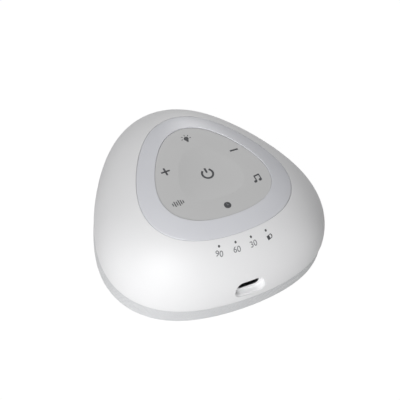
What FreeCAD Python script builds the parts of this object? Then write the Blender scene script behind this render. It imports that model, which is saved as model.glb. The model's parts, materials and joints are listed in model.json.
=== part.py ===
import FreeCAD, Part
import math
import os
import Sketcher

# Domed sound machine on a rounded triangle, in millimetres.
# The origin is on the upright middle axis, in the plane that the rubber foot stands on.
# +Z is up and the front, with the charging socket, faces -Y.

drivingSizes = {
    "meanRadius": 45.0,
    "bodyHeight": 37.0,
    "shellBottom": 7.6,
    "radialPower": 0.747,
    "heightPower": 0.949,
    "cornerShare": 0.086,
    "flatShare": 0.006,
    "shellWall": 2.2,
    "partingGap": 0.1,
    "seatGap": 0.05,
    "ringOuter": 29.6,
    "ringInner": 22.3,
    "ringThickness": 1.7,
    "ringLedge": 1.2,
    "keypadSink": 0.1,
    "skinThickness": 0.6,
    "dishEdge": 12.64,
    "dishDepth": 0.8,
    "keyThickness": 1.55,
    "keySpacing": 0.5,
    "keyCircle": 17.1,
    "keyTravel": 0.35,
    "stemRadius": 1.4,
    "stemLength": 1.0,
    "frameThickness": 1.0,
    "frameRim": 0.8,
    "guideClearance": 0.3,
    "frameLegRadius": 1.3,
    "frameLegCircle": 17.0,
    "plungerRadius": 0.95,
    "plungerStandOut": 0.7,
    "switchWidth": 4.6,
    "switchHeight": 2.1,
    "boardThickness": 1.4,
    "boardEdgeGap": 1.4,
    "boardScrewInset": 2.3,
    "chipHeight": 1.2,
    "chipColumn": 9.0,
    "controlChipSide": 7.0,
    "controlChipY": 3.0,
    "memoryChipLength": 5.3,
    "memoryChipWidth": 5.2,
    "memoryChipX": 3.0,
    "memoryChipY": 4.0,
    "amplifierChipSide": 4.0,
    "amplifierChipY": 8.0,
    "headerWidth": 3.0,
    "plugHeaderLength": 5.0,
    "flexHeaderLength": 8.0,
    "ringLightShare": 25.6,
    "ringLightHeight": 1.4,
    "ringLightLength": 2.8,
    "ringLightWidth": 3.5,
    "baffleWall": 0.6,
    "statusGap": 2.9,
    "statusSpacing": 12.6,
    "statusPipeRadius": 0.42,
    "statusHoleRadius": 0.5,
    "statusLegLength": 3.6,
    "statusLampLength": 1.0,
    "statusLampWidth": 1.6,
    "portHeight": 14.0,
    "portWidth": 13.0,
    "portOpening": 7.0,
    "portDepth": 2.1,
    "portFloor": 1.3,
    "socketWidth": 8.94,
    "socketHeight": 3.26,
    "socketLength": 7.35,
    "socketWall": 0.3,
    "socketClearance": 0.15,
    "tongueWidth": 6.7,
    "tongueHeight": 0.7,
    "tongueLength": 4.45,
    "tongueSetBack": 2.0,
    "socketBoardThickness": 1.2,
    "socketBoardWidth": 15.0,
    "socketBoardLength": 12.5,
    "socketPostInset": 2.2,
    "socketPostRadius": 1.76,
    "chargeChipSide": 3.0,
    "chargeChipHeight": 0.8,
    "chargeChipGap": 1.9,
    "flexWidth": 6.0,
    "flexThickness": 0.3,
    "flexTab": 2.0,
    "flexStandOff": 0.75,
    "chassisThickness": 1.8,
    "chassisGap": 0.4,
    "grilleWall": 2.25,
    "clothFace": 44.6,
    "clothThickness": 0.4,
    "clothMargin": 0.15,
    "grilleSlotWidth": 3.2,
    "grilleBar": 0.8,
    "footStandOut": 0.6,
    "footEdgeGap": 6.0,
    "footRecess": 0.6,
    "baseThickness": 1.6,
    "baseLip": 0.75,
    "baseLipStandIn": 0.1,
    "baseChamfer": 0.3,
    "soundConeRadius": 12.0,
    "soundConeHeight": 2.8,
    "soundConeTip": 1.5,
    "postRadius": 2.4,
    "bossRadius": 3.0,
    "baseBossWall": 1.4,
    "baseScrewInset": 11.1,
    "chassisScrewInset": 10.5,
    "screwShank": 1.0,
    "screwHead": 2.0,
    "screwHeadHeight": 1.3,
    "screwClearance": 0.3,
    "threadClearance": 0.05,
    "screwBite": 4.0,
    "pilotSpare": 1.0,
    "crossDepthShare": 0.6,
    "crossLengthShare": 1.1,
    "crossWidthShare": 0.28,
    "smallShank": 0.7,
    "smallHead": 1.4,
    "smallHeadHeight": 0.8,
    "speakerRadius": 20.0,
    "speakerOpening": 17.8,
    "gasketThickness": 0.4,
    "gasketWidth": 2.2,
    "surroundSheet": 0.3,
    "surroundRoll": 1.6,
    "surroundSkirt": 1.2,
    "surroundClearance": 0.4,
    "flangeThickness": 0.8,
    "basketDepth": 4.6,
    "basketWall": 0.8,
    "basketNeck": 13.0,
    "windowMargin": 1.28,
    "windowWidth": 5.2,
    "earRadius": 2.24,
    "topPlateThickness": 1.2,
    "magnetRadius": 12.0,
    "magnetHeight": 3.0,
    "magnetBore": 7.6,
    "yokeThickness": 1.2,
    "poleRadius": 5.0,
    "coilInner": 5.5,
    "coilWall": 0.5,
    "coilGap": 0.45,
    "coneOuter": 13.6,
    "coneSheet": 0.4,
    "coneDepth": 3.2,
    "dustCapDepth": 1.4,
    "capShoulderShare": 0.65,
    "capFallShare": 0.75,
    "spiderRadius": 12.4,
    "spiderSheet": 0.3,
    "batteryLength": 38.0,
    "batteryWidth": 27.0,
    "batteryGap": 0.2,
    "batteryCorner": 1.5,
    "padThickness": 0.6,
    "padRadius": 10.0,
    "leadRadius": 0.45,
    "leadSpacing": 1.3,
    "leadClearance": 4.0,
    "terminalHeight": 2.2,
    "terminalInset": 3.2,
    "plugGap": 3.2,
    "plugWidth": 2.6,
    "plugLength": 4.4,
    "plugHeight": 1.6,
    "flexGap": 4.0,
}

# Whole counts, shares and directions, in degrees from +X seen from above
cornerAngles = (90, 210, 330)
sideAngles = (60, 180, 300)
flangeScrewAngles = (45, 135, 225, 315)
domeTopShare = 0.7
bowlReach = 0.9
bendShare = 0.45
ringLightCount = 12
grilleSlotCount = 54
basketWindowCount = 6
outlinePoints = 24
domeSections = 13
bowlSections = 7

doc = FreeCAD.newDocument("SoundMachine")
sizes = doc.addObject("Spreadsheet::Sheet", "Sizes")
nodes = []


def fillSheet():
    for row, (name, value) in enumerate(drivingSizes.items(), start=1):
        sizes.set(f"A{row}", name)
        sizes.set(f"B{row}", str(value))
        sizes.setAlias(f"B{row}", name)
    doc.recompute()


def number(text):
    return float(sizes.evalExpression(text))


# Outline and dome formulas, as expression texts

def swell(angle):
    """How far the outline stands out at one angle, as a share of its mean radius."""
    around = f"({angle} - 90) * 1 deg"
    corner = f"Sizes.cornerShare * cos(3 * {around})"
    flat = f"Sizes.flatShare * cos(6 * {around})"
    return f"(1 + {corner} + {flat})"


def onOutline(share, angle):
    reach = f"({share}) * {swell(angle)}"
    return f"({reach} * cos({angle} * 1 deg))", f"({reach} * sin({angle} * 1 deg))"


def domeHeight(share, inset="0"):
    """Height of the dome where its outline has this mean radius."""
    rise = f"(Sizes.bodyHeight - Sizes.shellBottom - ({inset}))"
    narrowing = f"(({share}) / (Sizes.meanRadius - ({inset}))) ^ (2 / Sizes.radialPower)"
    return f"(Sizes.shellBottom + {rise} * (1 - {narrowing}) ^ (Sizes.heightPower / 2))"


def domeShare(height, inset="0"):
    """Mean radius of the dome's outline at this height."""
    rise = f"(Sizes.bodyHeight - Sizes.shellBottom - ({inset}))"
    climbed = f"((({height}) - Sizes.shellBottom) / {rise}) ^ (2 / Sizes.heightPower)"
    return f"((Sizes.meanRadius - ({inset})) * (1 - {climbed}) ^ (Sizes.radialPower / 2))"


# Levels from the top down

keypadTop = f"({domeHeight('Sizes.ringInner')} - Sizes.keypadSink)"
skinLow = f"({keypadTop} - Sizes.skinThickness)"
keyTop = f"({skinLow} - Sizes.seatGap)"
keyLow = f"({keyTop} - Sizes.keyThickness)"
frameTop = f"({keyLow} - Sizes.keyTravel - Sizes.seatGap)"
frameLow = f"({frameTop} - Sizes.frameThickness)"
plungerTop = f"({keyLow} - Sizes.stemLength)"
switchTop = f"({plungerTop} - Sizes.plungerStandOut)"
boardTop = f"({switchTop} - Sizes.switchHeight)"
boardLow = f"({boardTop} - Sizes.boardThickness)"
batteryTop = f"({boardLow} - Sizes.chipHeight - Sizes.batteryGap)"

# Levels from the foot up

baseLow = "Sizes.footStandOut"
lipTop = f"({baseLow} + Sizes.baseLip)"
baseTop = f"({baseLow} + Sizes.baseThickness)"
footTop = f"({baseLow} + Sizes.footRecess)"
chassisLow = "Sizes.shellBottom"
chassisTop = f"({chassisLow} + Sizes.chassisThickness)"
grilleTop = f"({chassisLow} - Sizes.seatGap)"
gasketTop = f"({chassisTop} + Sizes.gasketThickness)"
flangeLow = f"({gasketTop} + Sizes.surroundSheet)"
flangeTop = f"({flangeLow} + Sizes.flangeThickness)"
basketTop = f"({flangeLow} + Sizes.basketDepth)"
topPlateLow = f"({basketTop} + Sizes.basketWall)"
magnetLow = f"({topPlateLow} + Sizes.topPlateThickness)"
yokeLow = f"({magnetLow} + Sizes.magnetHeight)"
yokeTop = f"({yokeLow} + Sizes.yokeThickness)"
batteryLow = f"({yokeTop} + Sizes.padThickness)"
pipeLow = f"({boardLow} - 3 * Sizes.statusPipeRadius)"
socketLow = "(Sizes.portHeight - Sizes.socketHeight / 2)"
socketBoardLow = f"({socketLow} - Sizes.socketBoardThickness)"

# Widths that follow from others

skinEdge = "(Sizes.ringInner - Sizes.partingGap)"
frameEdge = f"({skinEdge} - Sizes.partingGap)"
keyOuter = f"({frameEdge} - Sizes.frameRim - Sizes.guideClearance)"
powerEdge = "(Sizes.dishEdge - Sizes.guideClearance)"
keyInner = f"({powerEdge} + Sizes.keySpacing)"
boardEdge = f"({domeShare(boardTop, 'Sizes.shellWall')} - Sizes.boardEdgeGap)"
grilleFace = "(Sizes.clothFace - Sizes.clothThickness - Sizes.seatGap)"
chassisEdge = "(Sizes.meanRadius - Sizes.shellWall - Sizes.chassisGap)"
portFace = f"({domeShare('Sizes.portHeight')} * {swell(270)})"
recessFloor = f"({portFace} - Sizes.portDepth)"
housingBack = f"({recessFloor} - Sizes.portFloor)"
baseScrewShare = "(Sizes.meanRadius - Sizes.baseScrewInset)"
chassisScrewShare = "(Sizes.meanRadius - Sizes.chassisScrewInset)"
boardScrewShare = f"({boardEdge} - Sizes.boardScrewInset)"

# The six outer keys, one every sixty degrees from the right-hand back one
outerKeys = ("minus", "light", "plus", "noise", "timer", "lullaby")
allKeys = outerKeys + ("power",)


def keyAngle(name):
    return 30 + 60 * outerKeys.index(name)


def keyPlace(name):
    if name == "power":
        return "0", "0"
    return onOutline("Sizes.keyCircle", keyAngle(name))


# Small builders

def place(item, at, low):
    item.setExpression("Placement.Base.x", at[0])
    item.setExpression("Placement.Base.y", at[1])
    item.setExpression("Placement.Base.z", low)
    return item


def cylinder(radius, height, low, at=("0", "0")):
    item = doc.addObject("Part::Cylinder", "Cylinder")
    item.setExpression("Radius", radius)
    item.setExpression("Height", height)
    return place(item, at, low)


def cone(lowRadius, highRadius, height, low, at=("0", "0")):
    item = doc.addObject("Part::Cone", "Cone")
    item.setExpression("Radius1", lowRadius)
    item.setExpression("Radius2", highRadius)
    item.setExpression("Height", height)
    return place(item, at, low)


def box(length, width, height, low, centre=("0", "0")):
    item = doc.addObject("Part::Box", "Box")
    item.setExpression("Length", length)
    item.setExpression("Width", width)
    item.setExpression("Height", height)
    corner = (f"{centre[0]} - ({length}) / 2", f"{centre[1]} - ({width}) / 2")
    return place(item, corner, low)


def turned(item, angle):
    """The item carried round the middle axis by an angle in degrees."""
    holder = doc.addObject("Part::Compound", "Turned")
    holder.Links = [item]
    holder.setExpression(".Placement.Rotation.Angle", str(angle))
    return holder


def cut(base, *tools):
    for tool in tools:
        result = doc.addObject("Part::Cut", "Cut")
        result.Base = base
        result.Tool = tool
        base = result
    return base


def fuse(*items):
    result = doc.addObject("Part::MultiFuse", "Fuse")
    result.Shapes = list(items)
    return result


def common(*items):
    result = doc.addObject("Part::MultiCommon", "Common")
    result.Shapes = list(items)
    return result


def group(*items):
    result = doc.addObject("Part::Compound", "Group")
    result.Links = list(items)
    return result


def shaped(shape):
    item = doc.addObject("Part::Feature", "Shaped")
    item.Shape = shape
    item.Placement = FreeCAD.Placement()
    return item


def node(label, item):
    item.Label = label
    nodes.append(item)
    return item


def tube(outer, inner, height, low, at=("0", "0")):
    slack = "Sizes.seatGap"
    bore = cylinder(inner, f"({height}) + 2 * {slack}", f"{low} - {slack}", at)
    return cut(cylinder(outer, height, low, at), bore)


# Sketched bodies

def originPlane(body, role):
    return next(item for item in body.Origin.OriginFeatures if item.Role == role)


def sketchPolygon(body, role, corners, offset=None):
    """A closed polygon whose corners are held by the sheet; a corner at None is on the axis."""
    sketch = body.newObject("Sketcher::SketchObject", "Profile")
    sketch.AttachmentSupport = [(originPlane(body, role), "")]
    sketch.MapMode = "FlatFace"
    if offset:
        sketch.setExpression(".AttachmentOffset.Base.z", offset)
    points = [FreeCAD.Vector(number(x or "0"), number(y), 0) for x, y in corners]
    count = len(points)
    for index in range(count):
        sketch.addGeometry(Part.LineSegment(points[index], points[(index + 1) % count]))
    for index in range(count):
        following = (index + 1) % count
        sketch.addConstraint(Sketcher.Constraint("Coincident", index, 2, following, 1))
    for index, (x, y) in enumerate(corners):
        if x:
            held = Sketcher.Constraint("DistanceX", -1, 1, index, 1, points[index].x)
            sketch.setExpression(f"Constraints[{sketch.addConstraint(held)}]", x)
        else:
            sketch.addConstraint(Sketcher.Constraint("PointOnObject", index, 1, -2))
        held = Sketcher.Constraint("DistanceY", -1, 1, index, 1, points[index].y)
        sketch.setExpression(f"Constraints[{sketch.addConstraint(held)}]", y)
    return sketch


def revolved(corners):
    """A body turned about the middle axis from a profile of (radius, height) corners."""
    body = doc.addObject("PartDesign::Body", "Turning")
    sketch = sketchPolygon(body, "XZ_Plane", corners)
    turn = body.newObject("PartDesign::Revolution", "Revolution")
    turn.Profile = sketch
    turn.ReferenceAxis = (sketch, ["V_Axis"])
    turn.Angle = 360
    return body


# Outline solids

def outlineWire(share, height):
    points = []
    for index in range(outlinePoints):
        around = 2 * math.pi * index / outlinePoints
        corner = number("Sizes.cornerShare") * math.cos(3 * around)
        flat = number("Sizes.flatShare") * math.cos(6 * around)
        reach = share * (1 + corner + flat)
        points.append(FreeCAD.Vector(-reach * math.sin(around), reach * math.cos(around), height))
    curve = Part.BSplineCurve()
    curve.interpolate(Points=points, PeriodicFlag=True)
    return Part.Wire([curve.toShape()])


def prism(share, low, high):
    low, high = number(low), number(high)
    face = Part.Face(outlineWire(number(share), low))
    return face.extrude(FreeCAD.Vector(0, 0, high - low))


def band(outer, inner, low, high):
    slack = f"{high} + Sizes.seatGap"
    return prism(outer, low, high).cut(prism(inner, f"{low} - Sizes.seatGap", slack))


def dome(inset):
    """The dome moved inwards by an inset, closed with a flat top above the keypad."""
    topShare = domeTopShare * number("Sizes.ringInner / Sizes.meanRadius")
    highest = math.acos(topShare ** (1 / number("Sizes.radialPower")))
    radius = number(f"Sizes.meanRadius - ({inset})")
    rise = number(f"Sizes.bodyHeight - Sizes.shellBottom - ({inset})")
    wires = []
    for index in range(domeSections):
        climb = highest * index / (domeSections - 1)
        share = radius * math.cos(climb) ** number("Sizes.radialPower")
        height = rise * math.sin(climb) ** number("Sizes.heightPower")
        wires.append(outlineWire(share, number("Sizes.shellBottom") + height))
    return Part.makeLoft(wires, True, False)


def bowl(drop):
    """The dish of the keypad, lowered by a drop and closed with a flat top."""
    wires = []
    for index in range(bowlSections):
        inwards = 1 - bowlReach * index / (bowlSections - 1)
        depth = number("Sizes.dishDepth") * (1 - inwards ** 2)
        height = number(f"{keypadTop} - ({drop})") - depth
        wires.append(outlineWire(number("Sizes.dishEdge") * inwards, height))
    return Part.makeLoft(wires, True, False)


def wedge(angle, low, high):
    """A sixty degree slice, narrowed so that neighbours keep the key spacing."""
    reach = number("2 * Sizes.ringInner")
    start = number("Sizes.keySpacing / 2") / math.sin(math.radians(30))
    points = [(start, 0.0)]
    for side in (-30, 30):
        turn = math.radians(side)
        points.append((start + reach * math.cos(turn), reach * math.sin(turn)))
    corners = []
    for x, y in points:
        turn = math.radians(angle)
        across = x * math.sin(turn) + y * math.cos(turn)
        along = x * math.cos(turn) - y * math.sin(turn)
        corners.append(FreeCAD.Vector(along, across, number(low)))
    face = Part.Face(Part.makePolygon(corners + corners[:1]))
    return face.extrude(FreeCAD.Vector(0, 0, number(high) - number(low)))


# Flat slots that run along Y, rounded at both ends

def stadium(width, height, back, front, middle):
    """A rounded slot through the front: back and front are distances towards -Y."""
    radius = f"({height}) / 2"
    length = f"({front}) - ({back})"
    straight = f"({width}) - ({height})"
    middleY = f"-(({front}) + ({back})) / 2"
    items = [box(straight, length, height, f"{middle} - {radius}", ("0", middleY))]
    for side in (-1, 1):
        end = doc.addObject("Part::Cylinder", "SlotEnd")
        end.setExpression("Radius", radius)
        end.setExpression("Height", length)
        end.setExpression(".Placement.Rotation.Angle", "90")
        end.Placement.Rotation = FreeCAD.Rotation(FreeCAD.Vector(1, 0, 0), 90)
        items.append(place(end, (f"{side} * ({straight}) / 2", f"-({back})"), middle))
    return fuse(*items)


# Screws: a head, a shank and a cross recess, pointing up or down

def screw(head, headHeight, shank, bite, seat, at, upwards):
    """The seat is the height of the face under the head."""
    recess = f"({headHeight}) * Sizes.crossDepthShare"
    slotLength = f"({head}) * Sizes.crossLengthShare"
    slotWidth = f"({head}) * Sizes.crossWidthShare"
    if upwards:
        headLow = f"{seat} - ({headHeight})"
        shankLow = seat
        recessLow = headLow
    else:
        headLow = seat
        shankLow = f"{seat} - ({bite})"
        recessLow = f"{seat} + ({headHeight}) - {recess}"
    solid = fuse(cylinder(head, headHeight, headLow, at), cylinder(shank, bite, shankLow, at))
    return cut(
        solid,
        box(slotLength, slotWidth, recess, recessLow, at),
        box(slotWidth, slotLength, recess, recessLow, at),
    )


def screwHole(radius, low, high, at):
    return cylinder(radius, f"{high} - ({low})", low, at)


# Case

portReach = "2 * Sizes.portDepth"
aboveAll = "2 * Sizes.bodyHeight"
bossPlaces = [onOutline(chassisScrewShare, angle) for angle in sideAngles]
baseScrewPlaces = [onOutline(baseScrewShare, angle) for angle in cornerAngles]
boardScrewPlaces = [onOutline(boardScrewShare, angle) for angle in cornerAngles]


def statusPlace(step):
    """One of the four status lights, counted in spacings from the middle of the front."""
    angle = f"(270 + {step} * Sizes.statusSpacing)"
    return onOutline(f"{boardEdge} + Sizes.statusGap", angle)


statusSteps = (-1.5, -0.5, 0.5, 1.5)


def makeTopShell():
    outer = dome("0")
    wall = outer.cut(dome("Sizes.shellWall"))
    opening = prism("Sizes.ringOuter + Sizes.partingGap", "Sizes.shellBottom", aboveAll)
    wall = wall.cut(opening)
    ledgeTop = dome("Sizes.ringThickness + Sizes.seatGap")
    ledge = ledgeTop.cut(dome("Sizes.shellWall + Sizes.ringThickness / 2"))
    ledge = ledge.common(band(
        "Sizes.ringOuter + Sizes.ringLedge", "Sizes.ringOuter - Sizes.ringLedge",
        boardTop, aboveAll))
    shell = shaped(wall.fuse(ledge))
    inside = shaped(dome("Sizes.shellWall / 2"))
    bossHeight = f"{domeHeight(chassisScrewShare)} - {chassisTop}"
    bosses = [cylinder("Sizes.bossRadius", bossHeight, chassisTop, at) for at in bossPlaces]
    housingWidth = "Sizes.portWidth + 2 * Sizes.portFloor"
    housingHeight = "Sizes.portOpening + Sizes.portFloor"
    housing = box(
        housingWidth, f"{portFace} - {housingBack}", housingHeight,
        f"Sizes.portHeight - ({housingHeight}) / 2", ("0", f"-({portFace} + {housingBack}) / 2"))
    solid = fuse(shell, common(inside, fuse(*bosses, housing)))
    pilots = []
    for at in bossPlaces:
        pilots.append(screwHole(
            "Sizes.screwShank + Sizes.threadClearance", f"{chassisTop} - Sizes.seatGap",
            f"{chassisTop} + Sizes.screwBite + Sizes.screwShank", at))
    headRooms = []
    for at in boardScrewPlaces:
        headRooms.append(screwHole(
            "Sizes.smallHead + Sizes.screwClearance", boardLow,
            f"{boardTop} + Sizes.smallHeadHeight + Sizes.screwClearance", at))
    solid = cut(solid, group(*pilots), group(*headRooms))
    recess = stadium(
        "Sizes.portWidth", "Sizes.portOpening", recessFloor, f"{portFace} + {portReach}",
        "Sizes.portHeight")
    slotWidth = "Sizes.socketWidth + 2 * Sizes.socketClearance"
    slotHeight = "Sizes.socketHeight + 2 * Sizes.socketClearance"
    slot = stadium(
        slotWidth, slotHeight, f"{housingBack} - {portReach}", f"{recessFloor} + Sizes.portDepth / 2",
        "Sizes.portHeight")
    lightHoles = []
    for step in statusSteps:
        lightHoles.append(screwHole(
            "Sizes.statusHoleRadius", pipeLow, "Sizes.bodyHeight", statusPlace(step)))
    return node("top_shell", cut(solid, recess, slot, group(*lightHoles)))


def makeLightRing():
    wall = dome("0").cut(dome("Sizes.ringThickness"))
    ring = wall.common(band("Sizes.ringOuter", "Sizes.ringInner", boardLow, aboveAll))
    return node("light_ring", shaped(ring))


def makeLightBaffle():
    inner = "(Sizes.ringInner + Sizes.baffleWall)"
    outer = "(Sizes.ringOuter - Sizes.ringLedge - Sizes.baffleWall / 2)"
    walls = band(f"{inner} + Sizes.baffleWall", inner, boardTop, "Sizes.bodyHeight")
    walls = walls.fuse(band(outer, f"{outer} - Sizes.baffleWall", boardTop, "Sizes.bodyHeight"))
    walls = walls.common(dome("Sizes.ringThickness + Sizes.ringLedge"))
    notches = []
    for at in boardScrewPlaces:
        notches.append(screwHole(
            "Sizes.smallHead + Sizes.screwClearance", boardLow, "Sizes.bodyHeight", at))
    return node("light_baffle", cut(shaped(walls), group(*notches)))


# Keypad

def makeKeypadSkin():
    slab = prism(skinEdge, skinLow, keypadTop)
    skin = slab.fuse(bowl("Sizes.skinThickness")).cut(bowl("0"))
    return node("keypad_skin", shaped(skin))


def makeKeyFrame():
    plate = shaped(prism(frameEdge, frameLow, frameTop))
    rim = shaped(band(frameEdge, f"{frameEdge} - Sizes.frameRim", frameTop, skinLow))
    legs = []
    for turn in range(0, 360, 60):
        at = (f"Sizes.frameLegCircle * cos({turn} deg)", f"Sizes.frameLegCircle * sin({turn} deg)")
        legs.append(cylinder("Sizes.frameLegRadius", f"{frameLow} - {boardTop}", boardTop, at))
    holes = []
    for name in allKeys:
        holes.append(screwHole(
            "Sizes.stemRadius + Sizes.guideClearance", f"{frameLow} - Sizes.seatGap",
            f"{frameTop} + Sizes.seatGap", keyPlace(name)))
    return node("key_frame", cut(fuse(plate, rim, *legs), group(*holes)))


def keyStem(name):
    return cylinder("Sizes.stemRadius", "Sizes.stemLength", plungerTop, keyPlace(name))


def makeKeys():
    for name in outerKeys:
        plate = band(keyOuter, keyInner, keyLow, keyTop)
        plate = plate.common(wedge(keyAngle(name), keyLow, keyTop))
        node(f"{name}_key", fuse(shaped(plate), keyStem(name)))
    plate = prism(powerEdge, keyLow, keyTop).cut(bowl("Sizes.skinThickness + Sizes.seatGap"))
    node("power_key", fuse(shaped(plate), keyStem("power")))


def makeSwitches():
    bodies = []
    bore = "Sizes.plungerRadius + Sizes.seatGap"
    inside = "(Sizes.keyTravel + Sizes.plungerStandOut)"
    for name in allKeys:
        at = keyPlace(name)
        case = box("Sizes.switchWidth", "Sizes.switchWidth", "Sizes.switchHeight", boardTop, at)
        well = cylinder(bore, f"{inside} + Sizes.seatGap", f"{switchTop} - {inside}", at)
        bodies.append(cut(case, well))
        plunger = cylinder(
            "Sizes.plungerRadius", "2 * Sizes.plungerStandOut",
            f"{plungerTop} - 2 * Sizes.plungerStandOut", at)
        node(f"{name}_switch_plunger", plunger)
    node("switch_bodies", group(*bodies))


# Main board

def makeMainBoard():
    board = shaped(prism(boardEdge, boardLow, boardTop))
    holes = []
    for at in boardScrewPlaces:
        holes.append(screwHole(
            "Sizes.smallShank + Sizes.screwClearance", f"{boardLow} - Sizes.seatGap",
            f"{boardTop} + Sizes.seatGap", at))
    node("main_board", cut(board, group(*holes)))
    screws = []
    for at in boardScrewPlaces:
        bite = "Sizes.boardThickness + Sizes.screwBite"
        screws.append(screw(
            "Sizes.smallHead", "Sizes.smallHeadHeight", "Sizes.smallShank", bite, boardTop, at,
            False))
    node("board_screws", group(*screws))


def makeLights():
    lights = []
    for index in range(ringLightCount):
        angle = 360 * (index + 0.5) / ringLightCount
        reach = f"Sizes.ringLightShare * {swell(angle)}"
        lamp = box(
            "Sizes.ringLightLength", "Sizes.ringLightWidth", "Sizes.ringLightHeight", boardTop,
            (reach, "0"))
        lights.append(turned(lamp, angle))
    node("ring_lights", group(*lights))
    lamps = []
    pipes = []
    inside = shaped(dome("0"))
    for step in statusSteps:
        at = statusPlace(step)
        pipeWidth = "2 * Sizes.statusPipeRadius"
        upright = cylinder(
            "Sizes.statusPipeRadius", f"Sizes.bodyHeight - {pipeLow}", pipeLow, at)
        legMiddle = (at[0], f"{at[1]} + Sizes.statusLegLength / 2")
        leg = box(pipeWidth, "Sizes.statusLegLength", pipeWidth, pipeLow, legMiddle)
        pipes.append(common(fuse(upright, leg), inside))
        lampMiddle = (
            at[0], f"{at[1]} + Sizes.statusLegLength + Sizes.statusLampLength / 2")
        lamps.append(box(
            "Sizes.statusLampWidth", "Sizes.statusLampLength", f"{boardLow} - {pipeLow}", pipeLow,
            lampMiddle))
    node("status_light_pipes", group(*pipes))
    node("status_lights", group(*lamps))


def chip(side, width, x, y):
    return box(side, width, "Sizes.chipHeight", f"({boardLow} - Sizes.chipHeight)", (x, y))


def makeBoardParts():
    side = "Sizes.controlChipSide"
    node("control_chip", chip(side, side, "-Sizes.chipColumn", "Sizes.controlChipY"))
    node("memory_chip", chip(
        "Sizes.memoryChipLength", "Sizes.memoryChipWidth", "Sizes.memoryChipX",
        "Sizes.memoryChipY"))
    side = "Sizes.amplifierChipSide"
    node("amplifier_chip", chip(side, side, "-Sizes.chipColumn", "-Sizes.amplifierChipY"))
    node("board_connectors", group(
        chip("Sizes.headerWidth", "Sizes.plugHeaderLength", plugX, "0"),
        chip("Sizes.headerWidth", "Sizes.plugHeaderLength", f"-({plugX})", "0"),
        chip("Sizes.flexHeaderLength", "Sizes.headerWidth", "0", f"-({flexY})")))


# Wiring

plugX = "(Sizes.batteryLength / 2 + Sizes.plugGap)"
flexY = "(Sizes.batteryWidth / 2 + Sizes.flexGap)"


def leadSolid(points, radius):
    """A round lead along straight runs that are joined by tangent arcs."""
    corners = [FreeCAD.Vector(*[number(text) for text in point]) for point in points]
    edges = []
    start = corners[0]
    for index in range(1, len(corners) - 1):
        before = corners[index - 1] - corners[index]
        after = corners[index + 1] - corners[index]
        turn = math.pi - before.getAngle(after)
        bend = bendShare * min(before.Length, after.Length) / math.tan(turn / 2)
        reach = bend * math.tan(turn / 2)
        first = corners[index] + before.normalize() * reach
        last = corners[index] + after.normalize() * reach
        inwards = (before + after).normalize()
        away = bend / math.cos(turn / 2) - bend
        middle = corners[index] + inwards * away
        edges.append(Part.LineSegment(start, first).toShape())
        edges.append(Part.Arc(first, middle, last).toShape())
        start = last
    edges.append(Part.LineSegment(start, corners[-1]).toShape())
    path = Part.Wire(edges)
    direction = corners[1] - corners[0]
    section = Part.Wire([Part.makeCircle(radius, corners[0], direction)])
    return path.makePipeShell([section], True, False)


def makeWiring():
    halfLength = "Sizes.batteryLength / 2"
    plugTop = f"({boardLow} - Sizes.chipHeight)"
    plugLow = f"({plugTop} - Sizes.plugHeight)"
    level = f"({plugLow} - 2 * Sizes.leadRadius)"
    node("battery_plug", box(
        "Sizes.plugWidth", "Sizes.plugLength", "Sizes.plugHeight", plugLow, (plugX, "0")))
    leads = []
    for side in (-0.5, 0.5):
        y = f"{side} * Sizes.leadSpacing"
        points = [(halfLength, y, level), (plugX, y, level), (plugX, y, plugLow)]
        leads.append(shaped(leadSolid(points, number("Sizes.leadRadius"))))
    node("battery_leads", group(*leads))
    leads = []
    terminal = f"({flangeTop} + Sizes.terminalHeight)"
    outside = f"-({plugX} + Sizes.leadClearance)"
    for side in (-0.5, 0.5):
        y = f"{side} * Sizes.leadSpacing"
        points = [
            ("-Sizes.speakerRadius + Sizes.terminalInset", y, terminal),
            (outside, y, terminal),
            (outside, y, f"{plugTop} - Sizes.leadClearance"),
            (f"-({plugX})", y, plugLow),
            (f"-({plugX})", y, plugTop),
        ]
        leads.append(shaped(leadSolid(points, number("Sizes.leadRadius"))))
    node("speaker_leads", group(*leads))


def makeBattery():
    thickness = f"{batteryTop} - {batteryLow}"
    cell = box("Sizes.batteryLength", "Sizes.batteryWidth", thickness, batteryLow)
    rounded = doc.addObject("Part::Fillet", "Rounded")
    rounded.Base = cell
    radius = number("Sizes.batteryCorner")
    rounded.Edges = [(edge, radius, radius) for edge in (1, 3, 5, 7)]
    node("battery", rounded)
    node("battery_pad", cylinder("Sizes.padRadius", "Sizes.padThickness", yokeTop))


# Speaker, facing down

def makeSpeaker():
    radius = "Sizes.speakerRadius"
    gasketInner = f"{radius} - Sizes.gasketWidth"
    node("speaker_gasket", tube(radius, gasketInner, "Sizes.gasketThickness", chassisTop))
    node("speaker_basket", makeBasket())
    plate = tube(
        "Sizes.magnetRadius", "Sizes.coilInner + Sizes.coilWall + Sizes.coilGap",
        "Sizes.topPlateThickness", topPlateLow)
    node("speaker_top_plate", plate)
    magnet = tube("Sizes.magnetRadius", "Sizes.magnetBore", f"{yokeLow} - {magnetLow}", magnetLow)
    node("speaker_magnet", magnet)
    poleLow = f"({topPlateLow} + Sizes.topPlateThickness / 4)"
    yoke = revolved([
        (None, poleLow), ("Sizes.poleRadius", poleLow), ("Sizes.poleRadius", yokeLow),
        ("Sizes.magnetRadius", yokeLow), ("Sizes.magnetRadius", yokeTop), (None, yokeTop)])
    node("speaker_yoke", yoke)
    screws = []
    for turn in flangeScrewAngles:
        at = screwOnFlange(turn)
        bite = f"{flangeTop} - {chassisLow} - Sizes.seatGap"
        screws.append(screw(
            "Sizes.smallHead", "Sizes.smallHeadHeight", "Sizes.smallShank", bite, flangeTop, at,
            False))
    node("speaker_screws", group(*screws))


def screwOnFlange(turn):
    reach = "(Sizes.speakerRadius + Sizes.smallHead / 2)"
    return f"{reach} * cos({turn} deg)", f"{reach} * sin({turn} deg)"


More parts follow.
